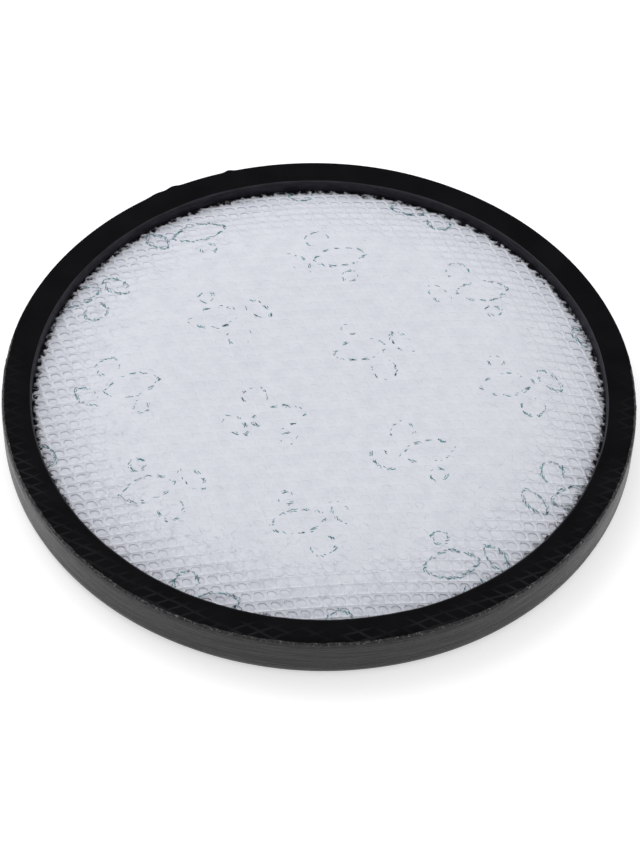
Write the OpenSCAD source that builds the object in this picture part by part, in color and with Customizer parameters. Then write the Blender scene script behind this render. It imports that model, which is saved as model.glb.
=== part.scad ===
/* [Rim] */
// Outside diameter of the flexible rim
rim_d = 150; // [130:1:200]
// Height of the rim, from its foot to its top face
rim_h = 12; // [10:0.5:20]
// Width of the rim's top face
rim_w = 7.2; // [5.5:0.1:12]
// Rounding of the outer edge at the foot
foot_round = 3; // [0.5:0.1:4]
// Rounding of the outer edge at the top
brow_round = 0.8; // [0.2:0.1:2]
// Rounding of the two inner edges
lip_round = 0.4; // [0.1:0.1:0.8]
// Depth of the groove that grips the edge of the nets and the pad
groove_depth = 4; // [1.5:0.1:4.5]

/* [Pad] */
// Depth of the front net's edge below the rim's top face
front_recess = 3.2; // [1.5:0.1:4]
// Height of the back net's edge above the rim's foot
back_recess = 2.6; // [1.8:0.1:4]
// Radius of the flat middle of the pad
plateau_r = 30; // [20:1:45]
// How far the pad swells in front, from its edge to its middle
front_swell = 4.6; // [2:0.1:7]
// How far the pad swells at the back
back_swell = 1.2; // [0.8:0.1:1.4]

/* [Nets] */
// Thickness of each net's bands
net_t = 0.5; // [0.3:0.1:0.9]
// Distance from one band to the next
strand_pitch = 11.6; // [11.4:0.1:16]
// Width of a band of the net
band_w = 2.4; // [1.5:0.1:5]
// Width of the raised strands, which lie on the bands of one run
strand_w = 1; // [0.6:0.1:1.5]
// Height of a raised strand above its band
strand_h = 0.4; // [0.2:0.1:0.8]
// Angle at which the two runs of bands cross
cross_angle = 104; // [90:1:120]
// Angle of the raised run to the X axis
net_turn = 6; // [0:1:45]

/* [Printed sprigs] */
// Length of the large leaf of one sprig
leaf_l = 14; // [9:0.5:15]
// Width of the large leaf
leaf_w = 7.4; // [4:0.2:8]
// Length of the small leaf
leaflet_l = 9; // [6:0.5:10]
// Width of the small leaf
leaflet_w = 4.8; // [3:0.2:5.6]
// Radius of the curl below the leaves
curl_r = 3.2; // [2:0.1:3.8]
// Radius of the bud beside the large leaf
bud_r = 2.2; // [1.5:0.1:2.6]
// Width of the printed line
line_w = 0.8; // [0.4:0.1:1]
// Thickness of the ink on the pad
ink_t = 0.2; // [0.1:0.05:0.3]
// Distance from one sprig to the next in a row
sprig_step = 36; // [34:1:60]
// Distance from one row of sprigs to the next
sprig_row = 27; // [26:1:45]
// Angle of the rows of sprigs to the X axis
sprig_turn = -14; // [-30:1:30]

/* [Hidden] */

$fn = 96;
// Overlap that keeps cuts clean
eps = 0.01;

rim_r = rim_d / 2;
mouth_r = rim_r - rim_w;
front_z = rim_h - front_recess;
back_z = back_recess;
net_foot = front_z - net_t;
pad_top = net_foot - ink_t;
pad_foot = back_z + net_t;
// Height of the prisms that are cut through the nets or out of the print
through = 2 * rim_h + front_swell;

// Net: steps of its lattice along both runs of bands
cell_step = strand_pitch / sin(cross_angle);
along = cell_step * [cos(net_turn), sin(net_turn)];
across = cell_step * [cos(net_turn + cross_angle), sin(net_turn + cross_angle)];
open_share = 1 - band_w / strand_pitch;
net_reach = ceil(mouth_r / strand_pitch / sin(cross_angle)) + 1;
// Solid edge that each net keeps inside the rim's mouth
selvedge = 0.8;

// Sprig: radius round its middle within which all of it is drawn
sprig_reach = 12;

// Rim: one ring, cast round the edge of the nets and the pad

module corner_cut(radius) {
    difference() {
        square(radius + eps);
        circle(radius);
    }
}

module rim() {
    color("#171719") rotate_extrude() difference() {
        translate([mouth_r, 0]) square([rim_w, rim_h]);
        translate([mouth_r - eps, back_z]) square([groove_depth + eps, front_z - back_z]);
        translate([rim_r - foot_round, foot_round]) rotate(-90) corner_cut(foot_round);
        translate([rim_r - brow_round, rim_h - brow_round]) corner_cut(brow_round);
        translate([mouth_r + lip_round, rim_h - lip_round]) rotate(90) corner_cut(lip_round);
        translate([mouth_r + lip_round, lip_round]) rotate(180) corner_cut(lip_round);
    }
}

// Half section of all that lies under a swollen face whose edge is at height zero.
// The middle is flat, and an arc that starts level there falls to the edge.
module under_face(swell) {
    fall_w = mouth_r - plateau_r;
    edge_lean = 2 * atan(swell / fall_w);
    fall_r = fall_w / sin(edge_lean);
    depth = rim_h;
    translate([0, -depth]) square([plateau_r, depth + swell]);
    intersection() {
        translate([plateau_r, swell - fall_r]) circle(fall_r, $fn = 360);
        translate([plateau_r, -depth]) square([fall_w, depth + swell]);
    }
    translate([mouth_r, -depth]) square([groove_depth, depth]);
}

module under_front(height) {
    translate([0, height]) under_face(front_swell);
}

module over_back(height) {
    translate([0, height]) mirror([0, 1]) under_face(back_swell);
}

module front_layer(low, high) {
    rotate_extrude() difference() {
        under_front(high);
        under_front(low);
    }
}

module back_layer(low, high) {
    rotate_extrude() difference() {
        over_back(low);
        over_back(high);
    }
}

// Nets: two runs of bands that cross at a slant, with open cells between them,
// and a raised strand on each band of the first run

module cells() {
    a = along / 2 * open_share;
    b = across / 2 * open_share;
    translate([0, 0, -rim_h]) linear_extrude(through) intersection() {
        for (i = [-net_reach:net_reach], j = [-net_reach:net_reach]) {
            middle = (i + 0.5) * along + (j + 0.5) * across;
            if (norm(middle) < mouth_r)
                translate(middle) polygon([a + b, b - a, -a - b, a - b]);
        }
        circle(mouth_r - selvedge);
    }
}

module strands() {
    translate([0, 0, -rim_h]) linear_extrude(through) intersection() {
        rotate(net_turn) for (i = [-net_reach:net_reach])
            translate([-rim_r, i * strand_pitch - strand_w / 2]) square([rim_d, strand_w]);
        circle(mouth_r);
    }
}

module front_net() {
    color("#e4e5ee") {
        difference() {
            front_layer(net_foot, front_z);
            cells();
        }
        intersection() {
            front_layer(front_z, front_z + strand_h);
            strands();
        }
    }
}

module back_net() {
    color("#e4e5ee") {
        difference() {
            back_layer(back_z, pad_foot);
            cells();
        }
        intersection() {
            back_layer(back_z - strand_h, back_z);
            strands();
        }
    }
}

// Pad: felt between the two nets, swollen where the rim doesn't hold it down

module filter_pad() {
    color("#d9dae4") rotate_extrude() intersection() {
        under_front(pad_top);
        over_back(pad_foot);
    }
}

// Print: sprigs in outline, each two leaves, a curl and a bud

module leaf_shape(length, width, inset) {
    arc_r = (length * length + width * width) / (4 * width);
    intersection() {
        translate([0, width / 2 - arc_r]) circle(arc_r - inset);
        translate([0, arc_r - width / 2]) circle(arc_r - inset);
    }
}

module leaf_outline(length, width) {
    difference() {
        leaf_shape(length, width, 0);
        leaf_shape(length, width, line_w);
    }
}

module ring(radius) {
    difference() {
        circle(radius);
        circle(radius - line_w);
    }
}

module sprig() {
    translate([-2.6, -0.6]) rotate(30) leaf_outline(leaf_l, leaf_w);
    translate([6.6, 4.6]) rotate(-30) leaf_outline(leaflet_l, leaflet_w);
    translate([4.6, -5]) difference() {
        ring(curl_r);
        translate([-curl_r, 0]) square(curl_r);
    }
    translate([-6.8, 5.2]) ring(bud_r);
}

module printed_sprigs() {
    rows = ceil(mouth_r / sprig_row) + 1;
    steps = ceil(mouth_r / sprig_step) + 1;
    color("#3f8f9a") intersection() {
        front_layer(pad_top, net_foot);
        translate([0, 0, -rim_h]) linear_extrude(through) intersection() {
            rotate(sprig_turn) for (j = [-rows:rows], i = [-steps:steps]) {
                middle = [(i + (j % 2 == 0 ? 0.25 : 0.75)) * sprig_step, (j + 0.5) * sprig_row];
                if (norm(middle) < mouth_r + sprig_reach)
                    translate(middle) rotate(j % 2 == 0 ? 0 : 180) sprig();
            }
            circle(mouth_r - selvedge);
        }
    }
}

rim();
front_net();
filter_pad();
back_net();
printed_sprigs();
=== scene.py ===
import math
import random

import bmesh
import bpy
from mathutils import Matrix, Vector, noise


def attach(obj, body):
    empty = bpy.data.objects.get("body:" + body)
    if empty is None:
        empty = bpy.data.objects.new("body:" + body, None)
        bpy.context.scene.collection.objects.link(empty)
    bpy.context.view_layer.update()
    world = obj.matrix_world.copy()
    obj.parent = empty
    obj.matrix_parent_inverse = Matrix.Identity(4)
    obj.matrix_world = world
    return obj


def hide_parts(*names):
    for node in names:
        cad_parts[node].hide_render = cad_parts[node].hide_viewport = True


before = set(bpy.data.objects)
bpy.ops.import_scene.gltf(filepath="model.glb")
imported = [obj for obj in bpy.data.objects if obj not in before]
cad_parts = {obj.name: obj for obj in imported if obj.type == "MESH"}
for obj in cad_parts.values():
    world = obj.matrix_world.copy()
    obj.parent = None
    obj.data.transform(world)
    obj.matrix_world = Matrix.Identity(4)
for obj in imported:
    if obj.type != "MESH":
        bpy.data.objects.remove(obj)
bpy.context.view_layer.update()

mm = 0.001  # pieces are modelled in millimetres and brought to metres when they are finished

# Sizes that several pieces share, as in the solids
filterSize = {
    "rimRadius": 75.0,
    "rimHeight": 12.0,
    "mouthRadius": 67.8,  # inner edge of the rim's top face
    "grooveRadius": 71.8,
    "frontEdge": 8.8,  # top of the front net where the rim grips it
    "backEdge": 2.6,
    "plateauRadius": 30.0,
    "frontSwell": 4.6,
    "backSwell": 1.2,
    "netThickness": 0.5,
}

# The real net's lattice: two steps, each a length and an angle, the width of its bands
# and how much of each cell's corners is rounded off
lattice = {"stepA": (2.91, 6.5), "stepB": (2.70, 110.7), "band": 1.12, "corner": 0.50}


def polar(length, degrees):
    angle = math.radians(degrees)
    return Vector((length * math.cos(angle), length * math.sin(angle), 0))


def smoothStep(low, high, value):
    share = min(1.0, max(0.0, (value - low) / (high - low)))
    return share * share * (3 - 2 * share)


def wander(point, size, seed=0.0):
    # smooth noise from about -1 to 1 whose blotches are size millimetres across
    return noise.noise(Vector(point) / size + Vector((seed, seed * 1.7, seed * 0.6)))


def swollen(radius, swell):
    # height of a swollen face over its edge: flat in the middle, then an arc down to the rim
    edge, flat = filterSize["mouthRadius"], filterSize["plateauRadius"]
    if radius <= flat:
        return swell
    if radius >= edge:
        return 0.0
    arc = (edge - flat) / math.sin(2 * math.atan(swell / (edge - flat)))
    return swell - arc + math.sqrt(arc * arc - (radius - flat) ** 2)


stepA, stepB = polar(*lattice["stepA"]), polar(*lattice["stepB"])
toCell = Matrix(((stepA.x, stepB.x), (stepA.y, stepB.y))).inverted()
cellHeightA = abs(stepA.x * stepB.y - stepA.y * stepB.x) / stepA.length  # between runs along A
cellHeightB = cellHeightA * stepA.length / stepB.length


def inCell(x, y, spare=0.0):
    # whether a point lies in an open cell of the net, at least spare millimetres from its bands
    u, v = toCell @ Vector((x, y))
    half = lattice["band"] / 2 + spare
    du, dv = 0.5 - abs(u - math.floor(u) - 0.5), 0.5 - abs(v - math.floor(v) - 0.5)
    return du * cellHeightB > half and dv * cellHeightA > half


def sunken(x, y):
    # how deep the felt lies under the net's top: flush in the middle, deep near the rim
    radius = math.hypot(x, y)
    angle = math.degrees(math.atan2(y, x))
    reach = 13 + 7 * max(0.0, math.cos(math.radians(angle - 180))) - 3 * max(0.0, math.sin(math.radians(angle)))
    share = smoothStep(filterSize["mouthRadius"] - reach, filterSize["mouthRadius"] - 2, radius + 3 * wander((x, y, 0), 9, 4.1))
    return 0.010 + 0.42 * share


# Materials


def linearColour(hexText):
    parts = [int(hexText[i : i + 2], 16) / 255 for i in (1, 3, 5)]
    return [p / 12.92 if p <= 0.04045 else ((p + 0.055) / 1.055) ** 2.4 for p in parts] + [1.0]


def addNode(tree, kind, settings=None, links=None):
    # adds one node; settings name its values or inputs, links bring nodes or sockets to inputs
    node = tree.nodes.new(kind)
    for name, value in (settings or {}).items():
        if name == "stops":
            for place, colour in value[2:]:
                node.color_ramp.elements.new(place)
            for mark, (place, colour) in zip(node.color_ramp.elements, value):
                mark.position, mark.color = place, linearColour(colour)
        elif isinstance(name, str) and hasattr(node, name):
            setattr(node, name, value)
        else:
            node.inputs[name].default_value = linearColour(value) if isinstance(value, str) else value
    for name, source in (links or {}).items():
        tree.links.new(source.outputs[0] if hasattr(source, "outputs") else source, node.inputs[name])
    return node


def newMaterial(name):
    material = bpy.data.materials.new(name)
    material.use_nodes = True
    tree = material.node_tree
    tree.nodes.clear()
    return material, tree, addNode(tree, "ShaderNodeTexCoord").outputs["Object"]


def finishMaterial(material, tree, settings, links):
    shader = addNode(tree, "ShaderNodeBsdfPrincipled", settings, links)
    addNode(tree, "ShaderNodeOutputMaterial", None, {"Surface": shader})
    return material


rimLook = {
    "skin": ("#0C0C0E", "#111113"),
    "netMark": "#242426",
    "wall": ("#0B0B0D", "#202022"),
    # inner wall tones, tinted bluish as a painted reflection of the pale pad
    "inside": ("#101015", "#23222B"),
    "torn": ("#141414", "#353434", "#767473"),
}


def netMarks(tree, where):
    # lines of a net pressed into the top face, 2.7 mm apart, near the outer edge in front
    runs = []
    for degrees, spacing in ((24, 2.6), (-28, 2.8)):
        turned = addNode(tree, "ShaderNodeMapping", {"Rotation": (0, 0, math.radians(-degrees))}, {"Vector": where})
        wave = addNode(
            tree,
            "ShaderNodeTexWave",
            {"bands_direction": "Y", "Scale": math.pi / 10 / (spacing * mm), "Distortion": 1.8, "Detail": 2.0},
            {"Vector": turned},
        )
        runs.append(wave.outputs["Fac"])
    lines = addNode(tree, "ShaderNodeMath", {"operation": "MAXIMUM"}, {0: runs[0], 1: runs[1]})
    thin = addNode(tree, "ShaderNodeMapRange", {"From Min": 0.82, "From Max": 0.99}, {"Value": lines})
    place = addNode(tree, "ShaderNodeSeparateXYZ", None, {"Vector": where})
    front = addNode(
        tree, "ShaderNodeMapRange", {"From Min": 0.012, "From Max": -0.02}, {"Value": place.outputs["Y"]}
    )
    flat = addNode(tree, "ShaderNodeVectorMath", {"operation": "MULTIPLY", 1: (1, 1, 0)}, {0: where})
    radius = addNode(tree, "ShaderNodeVectorMath", {"operation": "LENGTH"}, {0: flat}).outputs["Value"]
    outer = addNode(tree, "ShaderNodeMapRange", {"From Min": 0.0695, "From Max": 0.0720}, {"Value": radius})
    cloud = addNode(tree, "ShaderNodeTexNoise", {"Scale": 1 / (9 * mm), "Detail": 3.0}, {"Vector": where})
    patchy = addNode(tree, "ShaderNodeMapRange", {"From Min": 0.36, "From Max": 0.60}, {"Value": cloud})
    mark = thin
    for share in (front, outer, patchy):
        mark = addNode(tree, "ShaderNodeMath", {"operation": "MULTIPLY"}, {0: mark, 1: share})
    return mark


def castSkin():
    # cast flexible polyurethane that set in the open: dead matt, so it stays black under soft light
    material, tree, where = newMaterial("castPolyurethaneSkin")
    cloud = addNode(tree, "ShaderNodeTexNoise", {"Scale": 1 / (7 * mm), "Detail": 6.0}, {"Vector": where})
    tone = addNode(
        tree, "ShaderNodeValToRGB", {"stops": [(0.35, rimLook["skin"][0]), (0.7, rimLook["skin"][1])]}, {"Fac": cloud}
    )
    mark = netMarks(tree, where)
    faint = addNode(tree, "ShaderNodeMath", {"operation": "MULTIPLY", 1: 0.7}, {0: mark})
    marked = addNode(
        tree, "ShaderNodeMix", {"data_type": "RGBA", 7: rimLook["netMark"]}, {0: faint, 6: tone}
    ).outputs[2]
    grain = addNode(tree, "ShaderNodeTexNoise", {"Scale": 1 / (0.5 * mm), "Detail": 5.0}, {"Vector": where})
    height = addNode(tree, "ShaderNodeMath", {"operation": "MULTIPLY_ADD", 1: 0.3}, {0: grain, 2: mark})
    relief = addNode(tree, "ShaderNodeBump", {"Distance": 0.10 * mm}, {"Height": height})
    settings = {"Roughness": 0.65, "Specular IOR Level": 0.015}
    return finishMaterial(material, tree, settings, {"Base Color": marked, "Normal": relief})


def castWall():
    # the same polyurethane where it set against the mould: a closed skin drawn into fine lines
    # all round, which turns grey where light grazes it
    material, tree, where = newMaterial("castPolyurethaneWall")
    drawn = addNode(tree, "ShaderNodeMapping", {"Scale": (1, 1, 22)}, {"Vector": where})
    fine = addNode(tree, "ShaderNodeTexNoise", {"Scale": 1 / (7 * mm), "Detail": 5.0}, {"Vector": drawn})
    broad = addNode(tree, "ShaderNodeTexNoise", {"Scale": 1 / (26 * mm), "Detail": 2.0}, {"Vector": drawn})
    tone = addNode(
        tree, "ShaderNodeValToRGB", {"stops": [(0.32, rimLook["wall"][0]), (0.72, rimLook["wall"][1])]}, {"Fac": fine}
    )
    rough = addNode(
        tree, "ShaderNodeMapRange", {"From Min": 0.3, "From Max": 0.7, "To Min": 0.24, "To Max": 0.46}, {"Value": broad}
    )
    relief = addNode(tree, "ShaderNodeBump", {"Distance": 0.25 * mm}, {"Height": fine})
    links = {"Base Color": tone, "Roughness": rough, "Normal": relief}
    return finishMaterial(material, tree, {"Specular IOR Level": 0.38}, links)


def castInside():
    # the inner wall, cast against the mould's plug: its base colour carries a dim bluish painted reflection of the pad,
    # on top of its own gloss
    material, tree, where = newMaterial("castPolyurethaneInside")
    drawn = addNode(tree, "ShaderNodeMapping", {"Scale": (1, 1, 5)}, {"Vector": where})
    streaks = addNode(tree, "ShaderNodeTexNoise", {"Scale": 1 / (4 * mm), "Detail": 3.0}, {"Vector": drawn})
    tone = addNode(
        tree,
        "ShaderNodeValToRGB",
        {"stops": [(0.35, rimLook["inside"][0]), (0.7, rimLook["inside"][1])]},
        {"Fac": streaks},
    )
    relief = addNode(tree, "ShaderNodeBump", {"Distance": 0.2 * mm}, {"Height": streaks})
    settings = {"Roughness": 0.5, "Specular IOR Level": 0.22}
    return finishMaterial(material, tree, settings, {"Base Color": tone, "Normal": relief})


def tornEdge():
    # the upper outer edge in front, where flash was pulled off the casting: grey torn specks
    material, tree, where = newMaterial("tornPolyurethaneEdge")
    specks = addNode(
        tree, "ShaderNodeTexNoise", {"Scale": 1 / (0.6 * mm), "Detail": 4.0, "Distortion": 1.0}, {"Vector": where}
    )
    places = (0.44, 0.58, 0.72)
    tone = addNode(tree, "ShaderNodeValToRGB", {"stops": list(zip(places, rimLook["torn"]))}, {"Fac": specks})
    relief = addNode(tree, "ShaderNodeBump", {"Distance": 0.3 * mm}, {"Height": specks})
    settings = {"Roughness": 0.55, "Specular IOR Level": 0.3}
    return finishMaterial(material, tree, settings, {"Base Color": tone, "Normal": relief})


padLook = {
    "white": "#DCDEE6",
    "shade": "#D3D5DE",
    # dark edge colour: black soaked in from the rim, together with painted shade of the recess under the rim
    "bleedAndShade": "#131217",
    "feltBleedAndShade": (66.3, 67.3),  # radii in mm between which the rim's black has soaked in, together with painted shade of the recess under the rim
    "netBleed": (66.7, 67.9),
    "ragged": 4.5,  # how far in mm the black and the painted shade wander
}


def bleedingAndShade(tree, where, radii):
    # share of black that crept in from the rim, together with painted shade where the felt and net lie in the recess
    # under the rim, ragged along the boundary
    flat = addNode(tree, "ShaderNodeVectorMath", {"operation": "MULTIPLY", 1: (1, 1, 0)}, {0: where})
    radius = addNode(tree, "ShaderNodeVectorMath", {"operation": "LENGTH"}, {0: flat}).outputs["Value"]
    edge = addNode(tree, "ShaderNodeTexNoise", {"Scale": 1 / (1.3 * mm), "Detail": 4.0}, {"Vector": where})
    ragged = addNode(
        tree,
        "ShaderNodeMath",
        {"operation": "MULTIPLY_ADD", 1: padLook["ragged"] * mm},
        {0: edge, 2: radius},
    )
    shift = padLook["ragged"] / 2
    limits = {"From Min": (radii[0] + shift) * mm, "From Max": (radii[1] + shift) * mm}
    return addNode(tree, "ShaderNodeMapRange", {"interpolation_type": "SMOOTHSTEP", **limits}, {"Value": ragged})


def padWhite(name, radii, hairSize, hairTurn, depth, settings):
    # white fibre or plastic with cloudy tone, fine hairs that lie one way, and the black edge, which is soaked-in black
    # together with painted shade under the rim
    material, tree, where = newMaterial(name)
    cloud = addNode(tree, "ShaderNodeTexNoise", {"Scale": 1 / (3.5 * mm), "Detail": 4.0}, {"Vector": where})
    tone = addNode(
        tree, "ShaderNodeValToRGB", {"stops": [(0.35, padLook["white"]), (0.8, padLook["shade"])]}, {"Fac": cloud}
    )
    black = bleedingAndShade(tree, where, radii)
    # darkens the white towards the rim: soaked-in black together with painted shade
    stainedAndShaded = addNode(
        tree, "ShaderNodeMix", {"data_type": "RGBA", 7: padLook["bleedAndShade"]}, {0: black, 6: tone}
    ).outputs[2]
    combed = addNode(
        tree, "ShaderNodeMapping", {"Rotation": (0, 0, math.radians(hairTurn)), "Scale": (1, 4, 1)}, {"Vector": where}
    )
    hairs = addNode(
        tree, "ShaderNodeTexNoise", {"Scale": 1 / (hairSize * mm), "Detail": 5.0, "Distortion": 0.6}, {"Vector": combed}
    )
    relief = addNode(tree, "ShaderNodeBump", {"Distance": depth * mm}, {"Height": hairs})
    return finishMaterial(material, tree, settings, {"Base Color": stainedAndShaded, "Normal": relief})


def needledFelt():
    # needle-punched polyester felt: no gloss, soft nap; its hairs are drawn coarser than life to show
    settings = {"Roughness": 0.95, "Specular IOR Level": 0.1, "Sheen Weight": 0.05, "Sheen Roughness": 0.5}
    return padWhite("needledPolyesterFelt", padLook["feltBleedAndShade"], 0.8, -12, 0.05, settings)


def nettingPlastic():
    # extruded polypropylene netting, rubbed matt and fuzzed over by the felt
    settings = {"Roughness": 0.7, "Specular IOR Level": 0.14, "IOR": 1.49}
    return padWhite("polypropyleneNetting", padLook["netBleed"], 1.2, -6, 0.03, settings)


def patchyTone(name, size, stops, settings):
    # one soft colour that turns fainter in patches
    material, tree, where = newMaterial(name)
    patches = addNode(tree, "ShaderNodeTexNoise", {"Scale": 1 / (size * mm), "Detail": 3.0}, {"Vector": where})
    tone = addNode(tree, "ShaderNodeValToRGB", {"stops": stops}, {"Fac": patches})
    return finishMaterial(material, tree, settings, {"Base Color": tone})


# teal printing ink that wets only the tips of the felt's hairs, so it is flat and broken
ink = patchyTone(
    "tealInkOnFelt",
    1.1,
    [(0.30, "#2B5260"), (0.46, "#47797F"), (0.60, "#6A9CA2"), (0.76, "#97B9BF")],
    {"Roughness": 0.85, "Specular IOR Level": 0.12, "IOR": 1.48},
)
# loose fibres, thinner than a pixel, so only their tone shows
whiteFibre = patchyTone(
    "whiteFeltFibre", 1.5, [(0.3, "#D5D8E1"), (0.7, "#E6E8EF")], {"Roughness": 0.9, "Specular IOR Level": 0.1}
)
blackFibre = patchyTone(
    "blackFoamFibre", 1.5, [(0.3, "#0C0C0F"), (0.7, "#1E1D23")], {"Roughness": 0.8, "Specular IOR Level": 0.1}
)
skin, wall, inside, torn = castSkin(), castWall(), castInside(), tornEdge()
felt, netting = needledFelt(), nettingPlastic()
print("materials made")


def finishPiece(bm, name, materials, nodes=(), sharpAngle=None, scale=True):
    # turns a bmesh into a piece that rides on the filter and stands for its solids
    if scale:
        bmesh.ops.scale(bm, vec=(mm, mm, mm), verts=bm.verts)
    mesh = bpy.data.meshes.new(name)
    bm.to_mesh(mesh)
    bm.free()
    if sharpAngle:
        mesh.shade_smooth()
        mesh.set_sharp_from_angle(angle=math.radians(sharpAngle))
    for material in materials:
        mesh.materials.append(material)
    piece = bpy.data.objects.new(name, mesh)
    bpy.context.scene.collection.objects.link(piece)
    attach(piece, "root")
    if nodes:
        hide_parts(*nodes)
    return piece


# Rim: a closed section, spun round the axis, then roughened where it is torn

rimShape = {
    "footRound": 3.0,
    "browRound": 0.8,
    "lipRound": 0.4,
    "steps": 960,
    "topCuts": 11,
    "wallCuts": 20,
    "wave": 0.10,  # how far the mould line wanders
    "tear": 0.16,  # depth of the torn edge in front
    "ridge": 0.035,  # depth of the fine lines round the wall
    "burrs": [(121, 1.2, 0.55), (124.5, 1.6, 0.35), (109.4, 0.8, 0.5)],  # angle, half width in degrees, height
}


def rimSection(bm):
    corners = [
        (filterSize["mouthRadius"], 0),
        (filterSize["rimRadius"], 0),
        (filterSize["rimRadius"], filterSize["rimHeight"]),
        (filterSize["mouthRadius"], filterSize["rimHeight"]),
        (filterSize["mouthRadius"], filterSize["frontEdge"]),
        (filterSize["grooveRadius"], filterSize["frontEdge"]),
        (filterSize["grooveRadius"], filterSize["backEdge"]),
        (filterSize["mouthRadius"], filterSize["backEdge"]),
    ]
    verts = [bm.verts.new((x, 0, z)) for x, z in corners]
    bm.faces.new(verts)
    rounds = ((0, "lipRound", 3), (1, "footRound", 8), (2, "browRound", 5), (3, "lipRound", 3))
    for index, size, segments in rounds:
        bmesh.ops.bevel(
            bm,
            geom=[verts[index]],
            offset=rimShape[size],
            offset_type="OFFSET",
            segments=segments,
            profile=0.5,
            affect="VERTICES",
            material=-1,
        )


def cutLong(bm, isLong, cuts):
    chosen = [e for e in bm.edges if isLong(*(v.co for v in e.verts))]
    bmesh.ops.subdivide_edges(bm, edges=chosen, cuts=cuts)


def roughen(vert):
    x, y, z = vert.co
    radius = math.hypot(x, y)
    if radius < 1:
        return
    out = Vector((x / radius, y / radius, 0))
    angle = math.degrees(math.atan2(y, x))
    front = smoothStep(0.30, -0.05, y / filterSize["rimRadius"])
    top = filterSize["rimHeight"]
    onBrow = smoothStep(1.5, 0.5, math.hypot(radius - (filterSize["rimRadius"] - 0.3), z - (top - 0.3)))
    onWall = smoothStep(73.6, 74.8, radius) * smoothStep(1.2, 3.0, z) * smoothStep(top - 0.4, top - 1.2, z)
    push = rimShape["wave"] * (wander(vert.co, 26, 1.0) - 0.9) * smoothStep(73, 75, radius)
    push += rimShape["ridge"] * (wander((x * 0.05, y * 0.05, z), 0.42, 7.7) - 0.6) * onWall
    if z > filterSize["frontEdge"] + 0.5 and radius < 69:
        push += 0.14 * wander(vert.co, 12, 3.0) + 0.05 * wander(vert.co, 2.2, 5.0)
    tear = onBrow * front * rimShape["tear"]
    push += tear * (wander(vert.co, 1.3, 2.0) + 0.6 * wander(vert.co, 0.6, 9.0) - 0.8)
    lift = tear * (wander(vert.co, 1.1, 6.0) + 0.5 * wander(vert.co, 0.5, 8.0) - 0.9)
    if z > top - 1.4 and radius > 73.4:
        for place, halfWidth, height in rimShape["burrs"]:
            push += height * math.exp(-(((angle - place) / halfWidth) ** 2)) * smoothStep(73.4, 74.8, radius)
    if z > top - 0.5 and 68.5 < radius < 74:
        lift += 0.03 * (wander(vert.co, 6, 4.0) - 0.6)
    vert.co += out * push + Vector((0, 0, lift))


def makeRim():
    bm = bmesh.new()
    rimSection(bm)
    top, foot = filterSize["rimHeight"], 0
    cutLong(bm, lambda a, b: abs(a.z - top) < 0.01 and abs(b.z - top) < 0.01, rimShape["topCuts"])
    cutLong(bm, lambda a, b: abs(a.x - 75) < 0.01 and abs(b.x - 75) < 0.01 and abs(a.z - b.z) > 4, rimShape["wallCuts"])
    cutLong(bm, lambda a, b: abs(a.x - 67.8) < 0.01 and abs(b.x - 67.8) < 0.01 and a.z > 8 and b.z > 8, 4)
    bmesh.ops.delete(bm, geom=list(bm.faces), context="FACES_ONLY")
    bmesh.ops.spin(
        bm,
        geom=list(bm.verts) + list(bm.edges),
        cent=(0, 0, 0),
        axis=(0, 0, 1),
        angle=2 * math.pi,
        steps=rimShape["steps"],
        use_merge=True,
    )
    for vert in bm.verts:
        roughen(vert)
    bmesh.ops.recalc_face_normals(bm, faces=bm.faces)
    for face in bm.faces:
        middle = face.calc_center_median()
        radius, z = math.hypot(middle.x, middle.y), middle.z
        front = middle.y / filterSize["rimRadius"] + 0.10 * wander(middle, 5, 3.3)
        if radius < 68.3:
            face.material_index = 2
        elif z > top - 0.75 and radius > 74.25 and front < 0.12:
            face.material_index = 3
        elif radius > 72.0 and z < top - 0.5:
            face.material_index = 1
    return finishPiece(bm, "rim_ring", [skin, wall, inside, torn], ["rim"], 50)


makeRim()
print("rim made")


# Nets and felt share one sheet of lattice cells

netShape = {"reach": 69.9, "crown": 0.15, "wobble": 0.07, "crownMiddle": 0.002}


def latticeSheet(bm, reach):
    # a sheared grid, one face to each cell of the net, out to a radius
    cells = 2 * math.ceil(reach / min(cellHeightA, cellHeightB) / 2) * 2
    bmesh.ops.create_grid(bm, x_segments=cells, y_segments=cells, size=cells / 2)
    shear = Matrix(((stepA.x, stepB.x, 0, 0), (stepA.y, stepB.y, 0, 0), (0, 0, 1, 0), (0, 0, 0, 1)))
    bmesh.ops.transform(bm, matrix=shear, verts=bm.verts)
    far = [f for f in bm.faces if f.calc_center_median().length > reach]
    bmesh.ops.delete(bm, geom=far, context="FACES")
    bmesh.ops.recalc_face_normals(bm, faces=bm.faces)
    if next(iter(bm.faces)).normal.z < 0:
        bmesh.ops.reverse_faces(bm, faces=bm.faces)


def openCells(bm, faces, band):
    # insets each cell by half a band and rounds its corners; gives back the cells' faces
    bmesh.ops.inset_individual(bm, faces=faces, thickness=band / 2)
    corners = {v for f in faces for v in f.verts}
    bmesh.ops.bevel(
        bm,
        geom=list(corners),
        offset=lattice["corner"],
        offset_type="OFFSET",
        segments=1,
        profile=0.5,
        affect="VERTICES",
        material=-1,
    )
    return [f for f in bm.faces if len(f.verts) == 8]


def shaped(x, y):
    # sideways wander of the lattice, the same for the net and for the felt in its cells
    return Vector((wander((x, y, 0), 7, 1.5), wander((x, y, 0), 7, 8.5), 0)) * netShape["wobble"]


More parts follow.
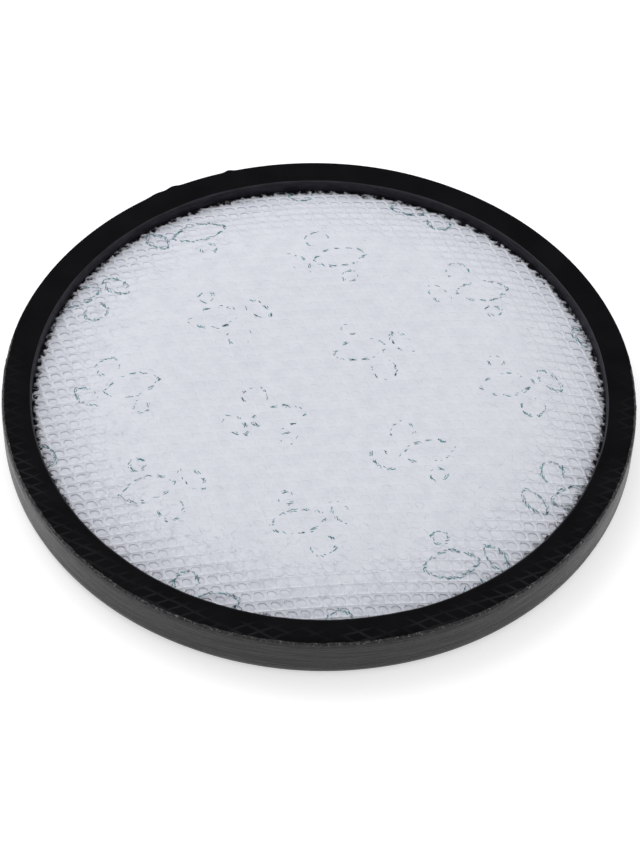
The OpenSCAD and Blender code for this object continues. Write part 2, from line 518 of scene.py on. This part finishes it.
def makeNet(name, node, faceHeight, outward):
    bm = bmesh.new()
    latticeSheet(bm, netShape["reach"])
    knots = set(bm.verts)
    cellFaces = openCells(bm, list(bm.faces), lattice["band"])
    bmesh.ops.delete(bm, geom=cellFaces, context="FACES")
    for vert in bm.verts:
        x, y, z = vert.co
        radius = math.hypot(x, y)
        rise = 0.0
        if vert not in knots:
            rise = -(netShape["crownMiddle"] + netShape["crown"] * smoothStep(45, 62, radius))
        vert.co = Vector((x, y, 0)) + shaped(x, y)
        vert.co.z = faceHeight(radius) + outward * rise
    if outward < 0:
        bmesh.ops.reverse_faces(bm, faces=bm.faces)
    bmesh.ops.solidify(bm, geom=list(bm.faces), thickness=filterSize["netThickness"])
    bmesh.ops.recalc_face_normals(bm, faces=bm.faces)
    return finishPiece(bm, name, [netting], [node], 40)


def frontTop(radius):
    return filterSize["frontEdge"] + swollen(radius, filterSize["frontSwell"])


def backFoot(radius):
    return filterSize["backEdge"] - swollen(radius, filterSize["backSwell"])


makeNet("front_netting", "front_net", frontTop, 1)
makeNet("back_netting", "back_net", backFoot, -1)
print("nets made")


padShape = {"reach": 69.9, "gap": 0.01, "under": 0.05, "edge": 0.28}


def makePad():
    bm = bmesh.new()
    latticeSheet(bm, padShape["reach"])
    bottom = list(bm.faces)
    grown = bmesh.ops.extrude_face_region(bm, geom=bottom, use_keep_orig=True)
    top = [f for f in grown["geom"] if isinstance(f, bmesh.types.BMFace)]
    bmesh.ops.translate(bm, vec=(0, 0, 10), verts=list({v for f in top for v in f.verts}))
    bmesh.ops.reverse_faces(bm, faces=bottom)
    cellFaces = openCells(bm, top, lattice["band"] + 2 * padShape["gap"])
    bmesh.ops.inset_individual(bm, faces=cellFaces, thickness=0.01, depth=1.0)
    bmesh.ops.inset_individual(bm, faces=cellFaces, thickness=padShape["edge"], depth=1.0)
    bmesh.ops.poke(bm, faces=cellFaces)
    for vert in bm.verts:
        x, y, level = vert.co
        radius = math.hypot(x, y)
        vert.co = Vector((x, y, 0)) + shaped(x, y)
        if level < 5:
            vert.co.z = backFoot(radius) + filterSize["netThickness"] + padShape["under"]
            continue
        netUnder = filterSize["netThickness"] + padShape["under"]
        deep = sunken(x, y)
        if level < 10.5:
            deep = max(netUnder, deep + 0.1)
        elif level < 11.5:
            deep += 0.004 + 0.07 * smoothStep(50, 66, radius)
        vert.co.z = frontTop(radius) - deep
    bmesh.ops.recalc_face_normals(bm, faces=bm.faces)
    piece = finishPiece(bm, "felt_pad", [felt], ["filter_pad"], 40)
    return piece


makePad()
print("felt made")


# Print: short slanted strokes along each outline, wherever the net leaves the felt open

inkShape = {
    "turn": -14,
    "step": 36.0,
    "row": 27.0,
    "leaf": (14.0, 7.4),
    "leaflet": (9.0, 4.8),
    "curl": 3.2,
    "bud": 2.2,
    "line": 0.75,
    "spacing": 0.16,
    "stroke": (0.6, 1.3),
    "width": (0.12, 0.26),
    "slant": -16,
    "seed": 21,
}


def arcPoints(middle, radius, start, end, spacing):
    count = max(3, round(abs(math.radians(end - start)) * radius / spacing))
    return [
        (
            middle + polar(radius, start + (end - start) * i / count),
            start + (end - start) * i / count + (90 if end > start else -90),
        )
        for i in range(count)
    ]


def leafPoints(length, width, spacing):
    # a leaf is where two equal discs overlap
    length, width = length - inkShape["line"], width - inkShape["line"]
    radius = (length * length + width * width) / (4 * width)
    half = math.degrees(math.asin(length / 2 / radius))
    points = []
    for side in (1, -1):
        middle = Vector((0, side * (width / 2 - radius), 0))
        points += arcPoints(middle, radius, side * 90 - half, side * 90 + half, spacing)
    return points


def sprigPoints(spacing):
    points = []
    for size, middle, turn in (("leaf", (-2.6, -0.6, 0), 30), ("leaflet", (6.6, 4.6, 0), -30)):
        turned = Matrix.Rotation(math.radians(turn), 4, "Z")
        points += [(turned @ p + Vector(middle), a + turn) for p, a in leafPoints(*inkShape[size], spacing)]
    points += arcPoints(Vector((4.6, -5, 0)), inkShape["curl"] - inkShape["line"] / 2, -180, 90, spacing)
    points += arcPoints(Vector((-6.8, 5.2, 0)), inkShape["bud"] - inkShape["line"] / 2, 0, 360, spacing)
    return points


def addStroke(bm, x, y, angle, length, width):
    place = Matrix.Translation((x, y, 0)) @ Matrix.Rotation(math.radians(angle), 4, "Z")
    size = Matrix.Diagonal((length / 2, width / 2, 1, 1))
    bmesh.ops.create_circle(bm, cap_ends=True, segments=6, radius=1, matrix=place @ size)


def makePrint():
    bm = bmesh.new()
    draw = random.Random(inkShape["seed"])
    points = sprigPoints(inkShape["spacing"])
    for j in range(-5, 5):
        for i in range(-4, 5):
            middle = Vector(((i + (0.25 if j % 2 == 0 else 0.75)) * inkShape["step"], (j + 0.5) * inkShape["row"], 0))
            if middle.length > filterSize["mouthRadius"] + 13:
                continue
            flip = 0 if j % 2 == 0 else 180
            whole = Matrix.Rotation(math.radians(inkShape["turn"]), 4, "Z") @ Matrix.Translation(middle)
            whole = whole @ Matrix.Rotation(math.radians(flip), 4, "Z")
            for point, along in points:
                offset = draw.uniform(-0.5, 0.5) * inkShape["line"]
                length, width = draw.uniform(*inkShape["stroke"]), draw.uniform(*inkShape["width"])
                lean = inkShape["slant"] + draw.gauss(0, 9)
                spot = whole @ (point + polar(offset, along + 90))
                angle = along + flip + inkShape["turn"] + lean
                onBand = draw.random() < 0.06 + 0.5 * smoothStep(46, 62, spot.length)
                if spot.length > filterSize["mouthRadius"] - 1.2 or draw.random() < 0.25:
                    continue
                if not inCell(spot.x, spot.y, 0.05):
                    if onBand:
                        addStroke(bm, spot.x, spot.y, angle, length * 0.8, width)
                    continue
                while length > 0.3:
                    tip = polar(length / 2, angle)
                    if inCell(spot.x + tip.x, spot.y + tip.y) and inCell(spot.x - tip.x, spot.y - tip.y):
                        break
                    length *= 0.85
                addStroke(bm, spot.x, spot.y, angle, length, width)
    for vert in bm.verts:
        x, y, z = vert.co
        vert.co = Vector((x, y, 0)) + shaped(x, y)
        deep = sunken(x, y) if inCell(x, y, -0.05) else 0
        vert.co.z = frontTop(math.hypot(x, y)) - deep + 0.015
    bmesh.ops.solidify(bm, geom=list(bm.faces), thickness=0.02)
    bmesh.ops.recalc_face_normals(bm, faces=bm.faces)
    return finishPiece(bm, "printed_sprig_ink", [ink], ["printed_sprigs"])


makePrint()
print("print made")


# Loose fibres: white hairs of the felt that came through the net, black ones from the rim


def strayFibres(name, fibres, material, thickness):
    # each fibre is a list of points; all become one mesh of thin round hairs
    curve = bpy.data.curves.new(name, "CURVE")
    curve.dimensions = "3D"
    curve.bevel_depth = thickness / 2 * mm
    curve.bevel_resolution = 0
    curve.use_fill_caps = True
    for points in fibres:
        spline = curve.splines.new("POLY")
        spline.points.add(len(points) - 1)
        for target, (x, y, z) in zip(spline.points, points):
            target.co = (x * mm, y * mm, z * mm, 1)
        for index, target in enumerate(spline.points):
            target.radius = 0.35 if index in (0, len(points) - 1) else 1.0
    shape = bpy.data.objects.new(name + "_curve", curve)
    bpy.context.scene.collection.objects.link(shape)
    mesh = bpy.data.meshes.new_from_object(shape.evaluated_get(bpy.context.evaluated_depsgraph_get()))
    bpy.data.objects.remove(shape)
    bm = bmesh.new()
    bm.from_mesh(mesh)
    bpy.data.meshes.remove(mesh)
    return finishPiece(bm, name, [material], scale=False)


fuzzShape = {"count": 2600, "length": (0.8, 2.4), "thickness": 0.06, "rise": 0.28, "seed": 5}


def hair(draw, x, y, angle, length, rise, low=0.0):
    # a curved hair over the front face: both ends near it, its middle lifted
    bend = draw.uniform(-50, 50)
    points = []
    for step in range(5):
        share = step / 4
        if step:
            move = polar(length / 4, angle + bend * (share - 0.5))
            x, y = x + move.x, y + move.y
        z = frontTop(math.hypot(x, y)) + low + rise * math.sin(math.pi * min(1.0, 0.15 + share * 0.8))
        points.append((x, y, z))
    return points


def whiteFuzz():
    draw = random.Random(fuzzShape["seed"])
    fibres = []
    while len(fibres) < fuzzShape["count"]:
        angle, radius = draw.uniform(-180, 180), 66.8 - abs(draw.gauss(0, 9))
        frontLeft = 0.5 + 0.5 * math.cos(math.radians(angle + 125))
        if radius < 20 or draw.random() > 0.10 + 0.90 * frontLeft**2:
            continue
        spot = polar(radius, angle)
        length = draw.uniform(*fuzzShape["length"])
        rise = draw.uniform(0.05, fuzzShape["rise"])
        fibres.append(hair(draw, spot.x, spot.y, draw.uniform(0, 360), length, rise, -0.06))
    return strayFibres("felt_fuzz", fibres, whiteFibre, fuzzShape["thickness"])


blackShape = {"count": 900, "length": (0.5, 2.2), "thickness": 0.075, "seed": 8}


def blackFuzz():
    draw = random.Random(blackShape["seed"])
    fibres = []
    while len(fibres) < blackShape["count"]:
        angle = draw.uniform(-180, 180)
        thick = 0.35 + 0.65 * smoothStep(-0.2, 0.9, math.cos(math.radians(angle + 62)))
        if draw.random() > thick:
            continue
        length = draw.uniform(*blackShape["length"]) * (0.6 + 0.6 * thick)
        radius = filterSize["mouthRadius"] - 0.1
        spot = polar(radius, angle)
        aim = angle + 180 + draw.gauss(0, 42)
        fibres.append(hair(draw, spot.x, spot.y, aim, length, draw.uniform(0.03, 0.2), 0.02))
    fibres.append(hair(draw, -58.9, 33.4, -18, 5.6, 0.35, 0.1))  # one long stray thread at the back left
    return strayFibres("rim_fibres", fibres, blackFibre, blackShape["thickness"])


whiteFuzz()
blackFuzz()
print("fibres made")


# Stage: a plain pale floor, soft light from above and behind on the left, and the camera

stageLook = {"floor": "#E0E0E1", "floorGlow": 0.48, "ambient": 0.74, "keyPower": 7.5, "keySize": 1.1}


def seenRays(tree):
    # 1 for the rays that see the stage itself: camera, glossy and transmission
    rays = addNode(tree, "ShaderNodeLightPath")
    first = addNode(
        tree, "ShaderNodeMath", {"operation": "MAXIMUM"}, {0: rays.outputs["Is Camera Ray"], 1: rays.outputs["Is Glossy Ray"]}
    )
    return addNode(tree, "ShaderNodeMath", {"operation": "MAXIMUM"}, {0: first, 1: rays.outputs["Is Transmission Ray"]})


def makeFloor():
    bm = bmesh.new()
    bmesh.ops.create_grid(bm, x_segments=1, y_segments=1, size=6)
    mesh = bpy.data.meshes.new("floor")
    bm.to_mesh(mesh)
    bm.free()
    floor = bpy.data.objects.new("floor", mesh)
    bpy.context.scene.collection.objects.link(floor)
    material, tree, where = newMaterial("paleFloor")
    glow = addNode(tree, "ShaderNodeMath", {"operation": "MULTIPLY", 1: stageLook["floorGlow"]}, {0: seenRays(tree)})
    shine = addNode(tree, "ShaderNodeEmission", {"Color": "#FFFFFF"}, {"Strength": glow})
    matt = addNode(tree, "ShaderNodeBsdfDiffuse", {"Color": stageLook["floor"]})
    both = addNode(tree, "ShaderNodeAddShader", None, {0: shine, 1: matt})
    addNode(tree, "ShaderNodeOutputMaterial", None, {"Surface": both})
    mesh.materials.append(material)


def makeWorld():
    world = bpy.data.worlds.new("studio")
    bpy.context.scene.world = world
    world.use_nodes = True
    tree = world.node_tree
    tree.nodes.clear()
    extra = {"operation": "MULTIPLY_ADD", 1: 1 - stageLook["ambient"], 2: stageLook["ambient"]}
    strength = addNode(tree, "ShaderNodeMath", extra, {0: seenRays(tree)})
    light = addNode(tree, "ShaderNodeBackground", {"Color": "#FFFFFF"}, {"Strength": strength})
    addNode(tree, "ShaderNodeOutputWorld", None, {"Surface": light})


def makeKeyLight():
    lamp = bpy.data.lights.new("softbox", "AREA")
    lamp.size = stageLook["keySize"]
    lamp.energy = stageLook["keyPower"]
    key = bpy.data.objects.new("softbox", lamp)
    key.location = (-0.55, 0.75, 1.05)
    key.rotation_euler = (-key.location).to_track_quat("-Z", "Y").to_euler()
    bpy.context.scene.collection.objects.link(key)


cameraPlace = {
    "elevation": 50.004,
    "distance": 9.52555,  # in rim radii
    "roll": -2.1158,
    "aside": -0.0056511,  # in rim radii
    "above": 0.0219996,
    "focal": 126.134,
}


def makeCamera():
    radius = filterSize["rimRadius"] * mm
    tilt, roll = math.radians(cameraPlace["elevation"]), math.radians(cameraPlace["roll"])
    right, up = Vector((1, 0, 0)), Vector((0, math.sin(tilt), math.cos(tilt)))
    back = Vector((0, -math.cos(tilt), math.sin(tilt)))
    across = math.cos(roll) * right - math.sin(roll) * up
    upward = math.sin(roll) * right + math.cos(roll) * up
    place = (back * cameraPlace["distance"] - right * cameraPlace["aside"] - up * cameraPlace["above"]) * radius
    data = bpy.data.cameras.new("camera")
    data.lens = cameraPlace["focal"]
    data.clip_start, data.clip_end = 0.01, 20
    camera = bpy.data.objects.new("camera", data)
    turned = Matrix((across, upward, back)).transposed().to_4x4()
    camera.matrix_world = Matrix.Translation(place) @ turned
    bpy.context.scene.collection.objects.link(camera)
    bpy.context.scene.camera = camera


makeFloor()
makeWorld()
makeKeyLight()
makeCamera()
bpy.context.scene.view_settings.view_transform = "Standard"
print("stage made")
